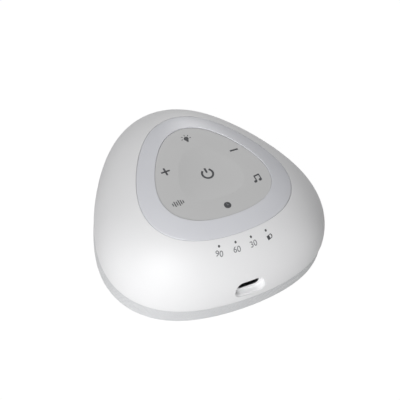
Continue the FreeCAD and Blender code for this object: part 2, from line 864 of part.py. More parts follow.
def makeBasket():
    radius = "Sizes.speakerRadius"
    mouth = "(Sizes.coneOuter + 2 * Sizes.surroundRoll + Sizes.surroundClearance)"
    neck = "Sizes.basketNeck"
    wall = "Sizes.basketWall"
    boreRadius = "(Sizes.coilInner + Sizes.coilWall + Sizes.coilGap)"
    body = revolved([
        (mouth, flangeLow), (radius, flangeLow), (radius, flangeTop),
        (f"{mouth} + {wall}", flangeTop), (f"{neck} + {wall}", f"{basketTop} + {wall}"),
        (boreRadius, f"{basketTop} + {wall}"), (boreRadius, basketTop), (neck, basketTop),
        (mouth, f"{flangeTop} - {wall} / 2")])
    low = f"({neck} + Sizes.windowMargin)"
    high = f"({radius} - {wall})"
    half = "(Sizes.windowWidth / 2)"
    window = sketchPolygon(
        body, "XY_Plane",
        [(low, f"-{half}"), (high, f"-{half}"), (high, half), (low, half)],
        f"{flangeTop} + {wall} / 2")
    pocket = body.newObject("PartDesign::Pocket", "Window")
    pocket.Profile = window
    pocket.Reversed = True
    pocket.setExpression("Length", "Sizes.basketDepth")
    pattern = body.newObject("PartDesign::PolarPattern", "Windows")
    pattern.Originals = [pocket]
    pattern.Axis = (window, ["N_Axis"])
    pattern.Angle = 360
    pattern.Occurrences = basketWindowCount
    body.Tip = pattern
    ears = []
    for turn in flangeScrewAngles:
        ears.append(cylinder(
            "Sizes.earRadius", "Sizes.flangeThickness", flangeLow, screwOnFlange(turn)))
    hollow = cylinder(f"{mouth} + {wall}", "2 * Sizes.flangeThickness", f"{flangeLow} - Sizes.seatGap")
    holes = []
    for turn in flangeScrewAngles:
        holes.append(screwHole(
            "Sizes.smallShank + Sizes.threadClearance", chassisLow,
            f"{flangeTop} + Sizes.seatGap", screwOnFlange(turn)))
    return cut(fuse(body, cut(group(*ears), hollow)), group(*holes))


def makeCone():
    sheet = "Sizes.coneSheet"
    edgeLow = f"({flangeLow} + Sizes.surroundSheet)"
    apex = f"({edgeLow} + Sizes.coneDepth)"
    neck = "(Sizes.coilInner + Sizes.coilWall)"
    diaphragm = revolved([
        ("Sizes.coneOuter", edgeLow), ("Sizes.coneOuter", f"{edgeLow} + {sheet}"),
        (neck, f"{apex} + {sheet}"), (neck, apex), (f"Sizes.coneOuter - {sheet} * 2", edgeLow)])
    node("speaker_cone", diaphragm)
    coilLow = apex
    coilTop = f"({magnetLow} + Sizes.topPlateThickness / 2)"
    coil = tube(neck, "Sizes.coilInner", f"{coilTop} - {coilLow}", coilLow)
    node("voice_coil", coil)
    node("dust_cap", makeDustCap(apex, neck))
    rimLow = f"({basketTop} - {sheet} - Sizes.spiderSheet)"
    spider = revolved([
        (neck, rimLow), ("Sizes.spiderRadius", rimLow),
        ("Sizes.spiderRadius", f"{rimLow} + Sizes.spiderSheet"),
        (neck, f"{rimLow} + Sizes.spiderSheet")])
    node("speaker_spider", spider)


def makeDustCap(apex, neck):
    """A shallow cap that bulges down out of the middle of the cone."""
    sheet = "Sizes.coneSheet / 2"
    shoulder = f"Sizes.capShoulderShare * {neck}"
    shoulderLow = f"({apex} - Sizes.capFallShare * Sizes.dustCapDepth)"
    middleLow = f"({apex} - Sizes.dustCapDepth)"
    return revolved([
        (None, middleLow), (shoulder, shoulderLow), (neck, apex), (f"{neck} - {sheet} * 2", apex),
        (f"{shoulder} - {sheet}", f"{shoulderLow} + {sheet}"), (None, f"{middleLow} + {sheet}")])


def makeSurround():
    """A rubber half roll that hangs below the flange, with a glued skirt on each side."""
    sheet = number("Sizes.surroundSheet")
    roll = number("Sizes.surroundRoll")
    inner = number("Sizes.coneOuter")
    skirt = number("Sizes.surroundSkirt + Sizes.surroundSheet")
    centre = inner + roll
    low = number(flangeLow)
    outer = number("Sizes.speakerRadius - Sizes.seatGap")

    def at(x, z):
        return FreeCAD.Vector(x, 0, z)

    arcOuter = Part.Arc(at(centre - roll, low), at(centre, low - roll), at(centre + roll, low))
    small = roll - sheet
    arcInner = Part.Arc(at(centre - small, low), at(centre, low - small), at(centre + small, low))
    bowlFace = Part.Face(Part.Wire([
        arcOuter.toShape(),
        Part.LineSegment(at(centre + roll, low), at(centre + small, low)).toShape(),
        arcInner.toShape(),
        Part.LineSegment(at(centre - small, low), at(centre - roll, low)).toShape(),
    ]))
    axis = (FreeCAD.Vector(0, 0, 0), FreeCAD.Vector(0, 0, 1), 360)
    roll3d = bowlFace.revolve(*axis)
    skirtOuter = Part.makeCylinder(outer, sheet, FreeCAD.Vector(0, 0, low - sheet))
    skirtOuter = skirtOuter.cut(Part.makeCylinder(
        centre + small, 2 * sheet, FreeCAD.Vector(0, 0, low - 1.5 * sheet)))
    skirtInner = Part.makeCylinder(centre - small, sheet, FreeCAD.Vector(0, 0, low))
    skirtInner = skirtInner.cut(Part.makeCylinder(
        inner - skirt, 2 * sheet, FreeCAD.Vector(0, 0, low - sheet / 2)))
    node("speaker_surround", shaped(roll3d.fuse([skirtOuter, skirtInner])))


# Chassis, foot and cloth

def makeChassis():
    plate = shaped(prism(chassisEdge, chassisLow, chassisTop))
    solids = [plate]
    for at in boardScrewPlaces:
        solids.append(cylinder("Sizes.postRadius", f"{boardLow} - {chassisTop}", chassisTop, at))
    for at in baseScrewPlaces:
        solids.append(cylinder("Sizes.bossRadius", "Sizes.screwBite", chassisTop, at))
    for at in socketScrewPlaces:
        height = f"{socketBoardLow} - {chassisTop}"
        solids.append(cylinder("Sizes.socketPostRadius", height, chassisTop, at))
    slack = "Sizes.seatGap"
    holes = [screwHole(
        "Sizes.speakerOpening", f"{chassisLow} - {slack}", f"{chassisTop} + {slack}", ("0", "0"))]
    for at in bossPlaces:
        holes.append(screwHole(
            "Sizes.screwShank + Sizes.screwClearance", f"{chassisLow} - {slack}",
            f"{chassisTop} + {slack}", at))
    pilot = "Sizes.screwShank + Sizes.threadClearance"
    for at in baseScrewPlaces:
        holes.append(screwHole(
            pilot, f"{chassisLow} - {slack}", f"{chassisTop} + Sizes.screwBite + {slack}", at))
    smallPilot = "Sizes.smallShank + Sizes.threadClearance"
    for at in boardScrewPlaces:
        holes.append(screwHole(
            smallPilot, f"{boardLow} - Sizes.screwBite - Sizes.pilotSpare",
            f"{boardLow} + {slack}", at))
    for at in socketScrewPlaces:
        holes.append(screwHole(
            smallPilot, f"{chassisLow} + {slack}", f"{socketBoardLow} + {slack}", at))
    for turn in flangeScrewAngles:
        holes.append(screwHole(
            smallPilot, f"{chassisLow} - {slack}", f"{chassisTop} + {slack}",
            screwOnFlange(turn)))
    node("speaker_chassis", cut(fuse(*solids), group(*holes)))
    screws = []
    for at in bossPlaces:
        bite = "Sizes.chassisThickness + Sizes.screwBite"
        screws.append(screw(
            "Sizes.screwHead", "Sizes.screwHeadHeight", "Sizes.screwShank", bite, chassisLow, at,
            True))
    node("chassis_screws", group(*screws))


def makeGrille():
    inner = f"{grilleFace} - Sizes.grilleWall"
    ring = shaped(band(grilleFace, inner, baseTop, grilleTop))
    slots = []
    slotHeight = f"{grilleTop} - {baseTop} - 2 * Sizes.grilleBar"
    for index in range(grilleSlotCount):
        angle = 360 * (index + 0.5) / grilleSlotCount
        middle = (f"{grilleFace} * {swell(angle)}", "0")
        slot = box(
            "4 * Sizes.grilleWall", "Sizes.grilleSlotWidth", slotHeight,
            f"{baseTop} + Sizes.grilleBar", middle)
        slots.append(turned(slot, angle))
    node("grille_frame", cut(ring, group(*slots)))
    cloth = band(
        "Sizes.clothFace", "Sizes.clothFace - Sizes.clothThickness",
        f"{lipTop} + Sizes.seatGap", f"{chassisLow} - Sizes.clothMargin")
    node("speaker_cloth", shaped(cloth))


def makeBase():
    lipEdge = "(Sizes.clothFace - Sizes.baseLipStandIn)"
    chamferTop = number(f"{baseLow} + Sizes.baseChamfer")
    chamfer = Part.makeLoft([
        outlineWire(number(f"{lipEdge} - Sizes.baseChamfer"), number(baseLow)),
        outlineWire(number(lipEdge), chamferTop)], True, True)
    lip = prism(lipEdge, f"{baseLow} + Sizes.baseChamfer", lipTop)
    plate = prism(grilleFace, lipTop, baseTop)
    footEdge = f"({grilleFace} - Sizes.footEdgeGap)"
    recess = prism(f"{footEdge} + Sizes.seatGap", f"{baseLow} - Sizes.seatGap", footTop)
    solids = [shaped(chamfer.fuse([lip, plate]).cut(recess))]
    posts = []
    for at in baseScrewPlaces:
        posts.append(cylinder(
            "Sizes.screwHead + Sizes.baseBossWall", f"{chassisLow} - {baseTop}", baseTop, at))
    soundCone = cone(
        "Sizes.soundConeRadius", "Sizes.soundConeTip", "Sizes.soundConeHeight", baseTop)
    holes = []
    headTop = f"({footTop} + Sizes.screwHeadHeight + Sizes.screwClearance)"
    for at in baseScrewPlaces:
        slack = "Sizes.seatGap"
        holes.append(screwHole(
            "Sizes.screwHead + Sizes.threadClearance", f"{footTop} - {slack}", headTop, at))
        holes.append(screwHole(
            "Sizes.screwShank + Sizes.threadClearance", headTop, f"{chassisLow} + {slack}", at))
    node("base_cover", cut(fuse(*solids, *posts, soundCone), group(*holes)))
    screws = []
    for at in baseScrewPlaces:
        bite = f"{chassisTop} + Sizes.screwBite - {headTop}"
        screws.append(screw(
            "Sizes.screwHead", "Sizes.screwHeadHeight", "Sizes.screwShank", bite, headTop, at,
            True))
    node("base_screws", group(*screws))
    node("rubber_foot", shaped(prism(footEdge, "0", footTop)))


# Charging socket

socketScrewY = f"-({housingBack} - Sizes.socketBoardLength + Sizes.socketPostInset)"
socketScrewX = "Sizes.socketBoardWidth / 2 - Sizes.socketPostInset"
socketScrewPlaces = [(f"-({socketScrewX})", socketScrewY), (socketScrewX, socketScrewY)]


def makeSocket():
    front = f"({recessFloor} - Sizes.seatGap)"
    back = f"({front} - Sizes.socketLength)"
    outside = stadium("Sizes.socketWidth", "Sizes.socketHeight", back, front, "Sizes.portHeight")
    innerWidth = "Sizes.socketWidth - 2 * Sizes.socketWall"
    innerHeight = "Sizes.socketHeight - 2 * Sizes.socketWall"
    inside = stadium(
        innerWidth, innerHeight, f"{back} - Sizes.socketWall", f"{front} + Sizes.socketWall",
        "Sizes.portHeight")
    node("usb_socket_shell", cut(outside, inside))
    blockLength = "(Sizes.socketLength - Sizes.tongueLength - Sizes.tongueSetBack)"
    slack = "2 * Sizes.seatGap"
    block = stadium(
        f"{innerWidth} - {slack}", f"{innerHeight} - {slack}", back, f"{back} + {blockLength}",
        "Sizes.portHeight")
    tongue = box(
        "Sizes.tongueWidth", f"Sizes.tongueLength + {slack}", "Sizes.tongueHeight",
        "Sizes.portHeight - Sizes.tongueHeight / 2",
        ("0", f"-({back} + {blockLength} + Sizes.tongueLength / 2)"))
    node("usb_socket_tongue", fuse(block, tongue))
    boardMiddle = ("0", f"-({housingBack} - Sizes.seatGap - Sizes.socketBoardLength / 2)")
    board = box(
        "Sizes.socketBoardWidth", "Sizes.socketBoardLength", "Sizes.socketBoardThickness",
        socketBoardLow, boardMiddle)
    holes = []
    screws = []
    for at in socketScrewPlaces:
        holes.append(screwHole(
            "Sizes.smallShank + Sizes.threadClearance", f"{socketBoardLow} - Sizes.seatGap",
            f"{socketLow} + Sizes.seatGap", at))
        bite = f"{socketLow} - {chassisTop}"
        screws.append(screw(
            "Sizes.smallHead", "Sizes.smallHeadHeight", "Sizes.smallShank", bite, socketLow, at,
            False))
    node("socket_board", cut(board, group(*holes)))
    node("socket_board_screws", group(*screws))
    side = "Sizes.chargeChipSide"
    chipY = f"-({housingBack} - Sizes.socketLength - Sizes.chargeChipGap)"
    node("charge_chip", box(side, side, "Sizes.chargeChipHeight", socketLow, ("0", chipY)))
    node("socket_flat_cable", makeFlatCable())


def makeFlatCable():
    """A flat cable from the rear edge of the socket board up to its header."""
    width = "Sizes.flexWidth"
    thickness = "Sizes.flexThickness"
    rearFace = f"({housingBack} - Sizes.socketBoardLength - Sizes.flexStandOff)"
    headerFace = f"({boardLow} - Sizes.chipHeight)"
    upright = box(
        width, thickness, f"{headerFace} - {socketLow}", socketLow,
        ("0", f"-({rearFace} + {thickness} / 2)"))
    lowTab = box(
        width, "Sizes.flexTab", thickness, socketLow, ("0", f"-({rearFace} + Sizes.flexTab / 2)"))
    reach = f"({rearFace} + {thickness} - {flexY} + Sizes.headerWidth / 2)"
    topTab = box(
        width, reach, thickness, f"{headerFace} - {thickness}",
        ("0", f"-({rearFace} + {thickness} - {reach} / 2)"))
    return fuse(upright, lowTab, topTab)


def checkAndWrite():
    doc.recompute()
    failed = []
    for item in doc.Objects:
        if "Invalid" in item.State or "Error" in item.State:
            failed.append(f"{item.Label} is {item.State}")
    for item in nodes:
        if item.Shape.isNull() or not item.Shape.isValid() or not item.Shape.Solids:
            failed.append(f"{item.Label} has no valid solid")
    if failed:
        raise RuntimeError("; ".join(failed))
    os.makedirs("parts", exist_ok=True)
    for item in nodes:
        item.Shape.exportStep(f"parts/{item.Label}.step")
        low, high = item.Shape.BoundBox.ZMin, item.Shape.BoundBox.ZMax
        print(f"{item.Label}: {len(item.Shape.Solids)} solids, {item.Shape.Volume:.1f} mm3, "
              f"z {low:.2f} to {high:.2f}")
    print(len(nodes), "nodes")


fillSheet()
makeTopShell()
makeLightRing()
makeLightBaffle()
makeKeypadSkin()
makeKeyFrame()
makeKeys()
makeSwitches()
makeMainBoard()
makeLights()
makeBoardParts()
makeWiring()
makeBattery()
makeSpeaker()
makeCone()
makeSurround()
makeChassis()
makeGrille()
makeBase()
makeSocket()
checkAndWrite()
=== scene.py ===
import bpy
import json
import math
from mathutils import Matrix, Vector


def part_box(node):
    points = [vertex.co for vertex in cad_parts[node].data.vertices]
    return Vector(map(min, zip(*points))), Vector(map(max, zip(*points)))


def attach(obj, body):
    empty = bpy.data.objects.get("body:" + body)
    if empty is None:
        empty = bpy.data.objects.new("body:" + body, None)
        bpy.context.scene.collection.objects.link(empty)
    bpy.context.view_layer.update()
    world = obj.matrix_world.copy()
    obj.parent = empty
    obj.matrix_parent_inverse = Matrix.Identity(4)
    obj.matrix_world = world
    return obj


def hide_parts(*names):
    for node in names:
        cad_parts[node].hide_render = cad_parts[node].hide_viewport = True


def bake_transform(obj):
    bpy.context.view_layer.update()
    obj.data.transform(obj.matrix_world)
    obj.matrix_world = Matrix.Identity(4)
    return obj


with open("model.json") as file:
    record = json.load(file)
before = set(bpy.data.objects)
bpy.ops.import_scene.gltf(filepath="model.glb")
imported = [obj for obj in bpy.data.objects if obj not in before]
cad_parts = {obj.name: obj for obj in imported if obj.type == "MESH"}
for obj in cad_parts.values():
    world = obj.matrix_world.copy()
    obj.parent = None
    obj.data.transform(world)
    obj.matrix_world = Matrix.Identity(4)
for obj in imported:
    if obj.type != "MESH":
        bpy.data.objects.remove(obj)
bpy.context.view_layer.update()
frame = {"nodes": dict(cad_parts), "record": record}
mm = 0.001

# Body form, from the same formulas as the solids. A share is a size before the outline's
# swell, and domeFoot keeps a run just inside the foot of the dome, where it stands upright.
form = {
    "meanRadius": 45.0 * mm,
    "bodyHeight": 37.0 * mm,
    "shellBottom": 7.6 * mm,
    "radialPower": 0.747,
    "heightPower": 0.949,
    "cornerShare": 0.086,
    "flatShare": 0.006,
    "ringPoints": 192,
    "slotPoints": 96,
    "domeFoot": 0.99995,
    "weldGap": 1e-7,
    "slotMiddle": 1e-6,
}


def swell(angle):
    around = angle - math.pi / 2
    corner = form["cornerShare"] * math.cos(3 * around)
    return 1 + corner + form["flatShare"] * math.cos(6 * around)


def outlineShare(x, y):
    return math.hypot(x, y) / swell(math.atan2(y, x))


def domeClimb(share, inset=0.0):
    narrow = min(1.0, share / (form["meanRadius"] - inset))
    return math.acos(narrow ** (1 / form["radialPower"]))


def domeHeight(share, inset=0.0):
    rise = form["bodyHeight"] - form["shellBottom"] - inset
    return form["shellBottom"] + rise * math.sin(domeClimb(share, inset)) ** form["heightPower"]


def domeShareAt(height):
    rise = form["bodyHeight"] - form["shellBottom"]
    climbed = ((height - form["shellBottom"]) / rise) ** (2 / form["heightPower"])
    return (1 - climbed) ** (form["radialPower"] / 2)


def domeRun(fromShare, toShare, count, inset=0.0):
    # stations up or down the dome, evenly spaced along its climb
    start, end = domeClimb(fromShare, inset), domeClimb(toShare, inset)
    run = []
    for index in range(count + 1):
        climb = start + (end - start) * index / count
        share = (form["meanRadius"] - inset) * math.cos(climb) ** form["radialPower"]
        run.append((share, domeHeight(share, inset)))
    return run


# Modelling helpers

def clearSelection():
    if bpy.context.object and bpy.context.object.mode != "OBJECT":
        bpy.ops.object.mode_set(mode="OBJECT")
    bpy.ops.object.select_all(action="DESELECT")


def makeActive(piece):
    clearSelection()
    piece.select_set(True)
    bpy.context.view_layer.objects.active = piece


def smoothPiece(piece, angle=30):
    makeActive(piece)
    bpy.ops.object.shade_smooth_by_angle(angle=math.radians(angle))


def sweepOutline(name, stations, closed):
    # a circle shaped to the body's outline, then extruded from station to station
    clearSelection()
    bpy.ops.mesh.primitive_circle_add(vertices=form["ringPoints"], radius=1.0)
    piece = bpy.context.object
    piece.name = name
    share, height = stations[0]
    for vertex in piece.data.vertices:
        angle = math.atan2(vertex.co.y, vertex.co.x)
        reach = share * swell(angle)
        vertex.co = (reach * math.cos(angle), reach * math.sin(angle), height)
    bpy.ops.object.mode_set(mode="EDIT")
    bpy.ops.mesh.select_all(action="SELECT")
    for nextShare, nextHeight in stations[1:]:
        bpy.ops.mesh.extrude_region_move(
            TRANSFORM_OT_translate={"value": (0, 0, nextHeight - height)})
        scale = nextShare / share
        bpy.ops.transform.resize(value=(scale, scale, 1), center_override=(0, 0, nextHeight))
        share, height = nextShare, nextHeight
    bpy.ops.mesh.select_all(action="SELECT")
    if closed:
        bpy.ops.mesh.remove_doubles(threshold=form["weldGap"])
    else:
        bpy.ops.mesh.fill_holes(sides=0)
    bpy.ops.mesh.normals_make_consistent(inside=False)
    bpy.ops.object.mode_set(mode="OBJECT")
    return piece


def sweepSlot(name, width, height, middleHeight, stations):
    # a rounded slot in the XZ plane, extruded along Y; each station is (y, growth all round)
    clearSelection()
    bpy.ops.mesh.primitive_circle_add(vertices=form["slotPoints"], radius=1.0)
    piece = bpy.context.object
    piece.name = name
    radius = height / 2
    straight = (width - height) / 2
    y, grow = stations[0]
    for vertex in piece.data.vertices:
        along, up = vertex.co.x, vertex.co.y
        side = 0 if abs(along) < form["slotMiddle"] else math.copysign(1, along)
        vertex.co = (side * straight + along * (radius + grow), y, middleHeight + up * (radius + grow))
    bpy.ops.object.mode_set(mode="EDIT")
    bpy.ops.mesh.select_all(action="SELECT")
    for nextY, nextGrow in stations[1:]:
        bpy.ops.mesh.extrude_region_move(TRANSFORM_OT_translate={"value": (0, nextY - y, 0)})
        scaleX = (width + 2 * nextGrow) / (width + 2 * grow)
        scaleZ = (height + 2 * nextGrow) / (height + 2 * grow)
        bpy.ops.transform.resize(
            value=(scaleX, 1, scaleZ), center_override=(0, nextY, middleHeight))
        y, grow = nextY, nextGrow
    bpy.ops.mesh.select_all(action="SELECT")
    bpy.ops.mesh.fill_holes(sides=0)
    bpy.ops.mesh.normals_make_consistent(inside=False)
    bpy.ops.object.mode_set(mode="OBJECT")
    return piece


def combine(piece, tool, operation):
    makeActive(piece)
    change = piece.modifiers.new("Combine", "BOOLEAN")
    change.object = tool
    change.operation = operation
    change.solver = "EXACT"
    bpy.ops.object.modifier_apply(modifier=change.name)
    bpy.data.objects.remove(tool)


def carve(piece, cutter):
    combine(piece, cutter, "DIFFERENCE")


# Materials

def linearColour(hexText):
    channels = []
    for index in (0, 2, 4):
        value = int(hexText[index:index + 2], 16) / 255
        channels.append(value / 12.92 if value <= 0.04045 else ((value + 0.055) / 1.055) ** 2.4)
    return (*channels, 1.0)


def addNode(tree, kind, settings=None, links=None):
    # settings go to sockets or properties, links are {socket of this node: (node, its socket)}
    added = tree.nodes.new(kind)
    for name, value in (settings or {}).items():
        if isinstance(name, int) or name in added.inputs:
            added.inputs[name].default_value = value
        else:
            setattr(added, name, value)
    for name, (source, output) in (links or {}).items():
        tree.links.new(source.outputs[output], added.inputs[name])
    return added


def newSurface(name, settings):
    material = bpy.data.materials.new(name)
    material.use_nodes = True
    tree = material.node_tree
    tree.nodes.clear()
    surface = addNode(tree, "ShaderNodeBsdfPrincipled", settings)
    addNode(tree, "ShaderNodeOutputMaterial", {}, {"Surface": (surface, "BSDF")})
    return material, tree, surface


def speckled(name, colour, darker, roughness, grain, depth, metallic=0.0, extra=None):
    # one moulded or ground surface: grain is the real grain size in metres
    settings = {"Metallic": metallic, "Roughness": roughness}
    settings.update(extra or {})
    material, tree, surface = newSurface(name, settings)
    place = addNode(tree, "ShaderNodeTexCoord")
    coarse = addNode(tree, "ShaderNodeTexNoise", {"Scale": 60.0, "Detail": 3.0}, {
        "Vector": (place, "Object")})
    tone = addNode(tree, "ShaderNodeMix", {
        "data_type": "RGBA", 6: linearColour(darker), 7: linearColour(colour)}, {
        0: (coarse, "Fac")})
    tree.links.new(tone.outputs[2], surface.inputs["Base Color"])
    fine = addNode(tree, "ShaderNodeTexNoise", {"Scale": 1 / grain, "Detail": 2.0}, {
        "Vector": (place, "Object")})
    bump = addNode(tree, "ShaderNodeBump", {"Strength": 0.25, "Distance": depth}, {
        "Height": (fine, "Fac")})
    tree.links.new(bump.outputs["Normal"], surface.inputs["Normal"])
    return material


def wovenCloth(colour, darker, thread):
    # plain weave polyester: each thread crosses over and under, so it reads as a fine check
    material, tree, surface = newSurface("wovenPolyester", {
        "Roughness": 0.85, "Sheen Weight": 0.3, "Sheen Roughness": 0.5})
    place = addNode(tree, "ShaderNodeUVMap", {"uv_map": "weave"})
    spread = addNode(tree, "ShaderNodeMapping", {"Scale": (1 / thread, 1 / thread, 1)}, {
        "Vector": (place, "UV")})
    threads = addNode(tree, "ShaderNodeTexChecker", {
        "Scale": 1.0, "Color1": (1, 1, 1, 1), "Color2": (0.35, 0.35, 0.35, 1)}, {
        "Vector": (spread, "Vector")})
    slub = addNode(tree, "ShaderNodeTexNoise", {"Scale": 0.9, "Detail": 2.0}, {
        "Vector": (spread, "Vector")})
    blended = addNode(tree, "ShaderNodeMath", {"operation": "MULTIPLY"}, {
        0: (threads, "Fac"), 1: (slub, "Fac")})
    tone = addNode(tree, "ShaderNodeMix", {
        "data_type": "RGBA", 6: linearColour(darker), 7: linearColour(colour)}, {
        0: (threads, "Fac")})
    tree.links.new(tone.outputs[2], surface.inputs["Base Color"])
    bump = addNode(tree, "ShaderNodeBump", {"Strength": 0.5, "Distance": 0.06 * mm}, {
        "Height": (blended, "Value")})
    tree.links.new(bump.outputs["Normal"], surface.inputs["Normal"])
    return material


def boardLacquer():
    # glass fibre board: satin green solder mask over fine copper tracks
    material, tree, surface = newSurface("solderMask", {"Roughness": 0.35})
    place = addNode(tree, "ShaderNodeTexCoord")
    tracks = addNode(tree, "ShaderNodeTexBrick", {
        "Scale": 160.0, "Mortar Size": 0.03, "Color1": linearColour("0F4A2A"),
        "Color2": linearColour("11502E"), "Mortar": linearColour("2C7A4A")}, {
        "Vector": (place, "Object")})
    tree.links.new(tracks.outputs["Color"], surface.inputs["Base Color"])
    return material


# white ABS, moulded with a satin finish
shellAbs = speckled("satinAbs", "F0F0F1", "EDEDEE", 0.48, 0.35 * mm, 0.004 * mm)
# frosted acrylic light guide
frostedRing = speckled("frostedAcrylic", "DFE0E5", "DBDCE1", 0.42, 0.3 * mm, 0.004 * mm, 0.0, {
    "Subsurface Weight": 0.15, "Subsurface Scale": 0.0015, "Subsurface Radius": (1, 1, 1)})
# grey silicone, moulded with a soft matte finish
skinRubber = speckled("moldedSilicone", "CECECE", "CBCBCB", 0.5, 0.25 * mm, 0.006 * mm, 0.0, {
    "Sheen Weight": 0.1, "Sheen Roughness": 0.5})
# matte screen printing ink in three greys
signInk = speckled("printedInk", "505154", "48494C", 0.55, 0.2 * mm, 0.002 * mm)
markInk = speckled("markInk", "7C7D80", "76777A", 0.55, 0.2 * mm, 0.002 * mm)
paleInk = speckled("paleInk", "8B8C8F", "98999C", 0.55, 0.2 * mm, 0.002 * mm)
# pale grey polyester cloth, plain weave
bandCloth = wovenCloth("EDEEEF", "B4B5B8", 0.42 * mm)
slotMaterials = {
    "shell_white": shellAbs,
    # clear acrylic light pipes, coloured dark grey as painted shade for the unlit hollow seen through
    # them while their lights are off
    # painted shade: this dark grey is not the clear pipes' own colour
    "ring_frosted": speckled("lightPipePaintedShade", "58595B", "4F5052", 0.3, 0.3 * mm, 0.002 * mm),
    "skin_grey": skinRubber,
    # grey ABS, moulded with a matte finish
    "key_plastic": speckled("keyAbs", "A8A9AB", "A0A1A3", 0.5, 0.3 * mm, 0.004 * mm),
    # black nylon, moulded
    "plunger_black": speckled("nylonBlack", "1B1B1C", "161617", 0.5, 0.3 * mm, 0.004 * mm),
    # black moulded epoxy of switches and chips
    "switch_black": speckled("epoxyBlack", "202123", "1A1B1C", 0.55, 0.2 * mm, 0.006 * mm),
    # white nylon, moulded
    "baffle_white": speckled("whiteNylon", "EDEDEA", "E6E6E2", 0.5, 0.3 * mm, 0.004 * mm),
    "board_green": boardLacquer(),
    # clear yellowish lamp resin
    "light_chip": speckled("lampResin", "F2EBC8", "EADFB4", 0.3, 0.3 * mm, 0.003 * mm),
    # zinc plated steel, satin
    "screw_steel": speckled("zincSteel", "BFC1C4", "A9ABAE", 0.32, 0.15 * mm, 0.004 * mm, 1.0),
    # black painted steel
    "speaker_steel": speckled("blackedSteel", "2A2A2C", "222224", 0.45, 0.2 * mm, 0.006 * mm),
    # sintered ferrite, dull and coarse
    "magnet_ferrite": speckled("ferrite", "3A3A3D", "2E2E31", 0.7, 0.4 * mm, 0.02 * mm),
    # black pressed paper
    "cone_paper": speckled("pressedPaper", "2B2B2B", "202020", 0.85, 0.3 * mm, 0.02 * mm),
    # enamelled copper wire
    "coil_copper": speckled("enamelCopper", "C47A45", "A9622F", 0.35, 0.15 * mm, 0.01 * mm, 1.0),
    # black butyl rubber, matte
    "surround_rubber": speckled("butylRubber", "1E1E1F", "181819", 0.7, 0.3 * mm, 0.006 * mm),
    # laminated aluminium foil around the cell
    "battery_wrap": speckled("laminatedFoil", "A7A9AC", "96989B", 0.4, 0.6 * mm, 0.02 * mm),
    # red PVC, satin
    "lead_cover": speckled("leadPvc", "A32A24", "93241F", 0.45, 0.3 * mm, 0.004 * mm),
    # light grey ABS, moulded
    "inner_plastic": speckled("greyAbs", "C6C7C9", "BEBFC1", 0.5, 0.35 * mm, 0.006 * mm),
    "cloth_grey": bandCloth,
    # grey soft rubber, matte
    "foot_rubber": speckled("softRubber", "7B7C7E", "717274", 0.75, 0.4 * mm, 0.01 * mm),
}
# nodes whose own finish differs from the rest of their slot: dark moulded resin, darkened further as
# painted shade for the inside of the port's slot, nickel plated steel and off-white moulded ABS
ownFinish = {
    # the tongue's dark grey is its black resin and also painted shade for the slot it sits in
    "usb_socket_tongue": speckled("socketResinAndShade", "3C3D3F", "343537", 0.5, 0.3 * mm, 0.004 * mm),
    "usb_socket_shell": speckled(
        "nickelSteel", "6E6F71", "66676A", 0.35, 0.15 * mm, 0.002 * mm, 1.0),
    "base_cover": speckled("baseAbs", "DBDCDD", "D4D5D6", 0.5, 0.35 * mm, 0.006 * mm),
}

for entry in frame["record"]["subparts"]:
    target = frame["nodes"][entry["node"]]
    finish = ownFinish.get(entry["node"], slotMaterials[entry["material_slot"]])
    target.data.materials.clear()
    target.data.materials.append(finish)
print("materials are on", len(frame["nodes"]), "solids")


def dress(piece, material, slotName, body, *replacedNodes):
    piece.data.materials.clear()
    piece.data.materials.append(material)
    if body:
        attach(piece, body)
    if replacedNodes:
        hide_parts(*replacedNodes)


# Top shell

shell = {
    "wall": 2.2 * mm,
    "edgeRound": 0.35 * mm,
    "opening": 29.72 * mm,
    "openingRound": 0.07 * mm,
    "ledgeReach": 1.2 * mm,
    "ledgeTop": 1.78 * mm,
    "ledgeLow": 3.0 * mm,
    "portWidth": 13.0 * mm,
    "portOpening": 7.0 * mm,
    "portDepth": 2.1 * mm,
    "portFloor": 1.3 * mm,
    "blockReach": 0.7 * mm,
    "portRound": 0.55 * mm,
    "slotWidth": 9.24 * mm,
    "slotHeight": 3.56 * mm,
    "lightHole": 0.43 * mm,
    "lightHoleDepth": 12 * mm,
    "lightHoleMiddle": 30 * mm,
    "lightHolePoints": 24,
    "faceStations": 44,
    "innerStations": 24,
    "roundSteps": 4,
    "mouthStretch": 1.2,
    "mouthClear": 2 * mm,
    "slotInwards": 4 * mm,
    "slotClear": 0.5 * mm,
}


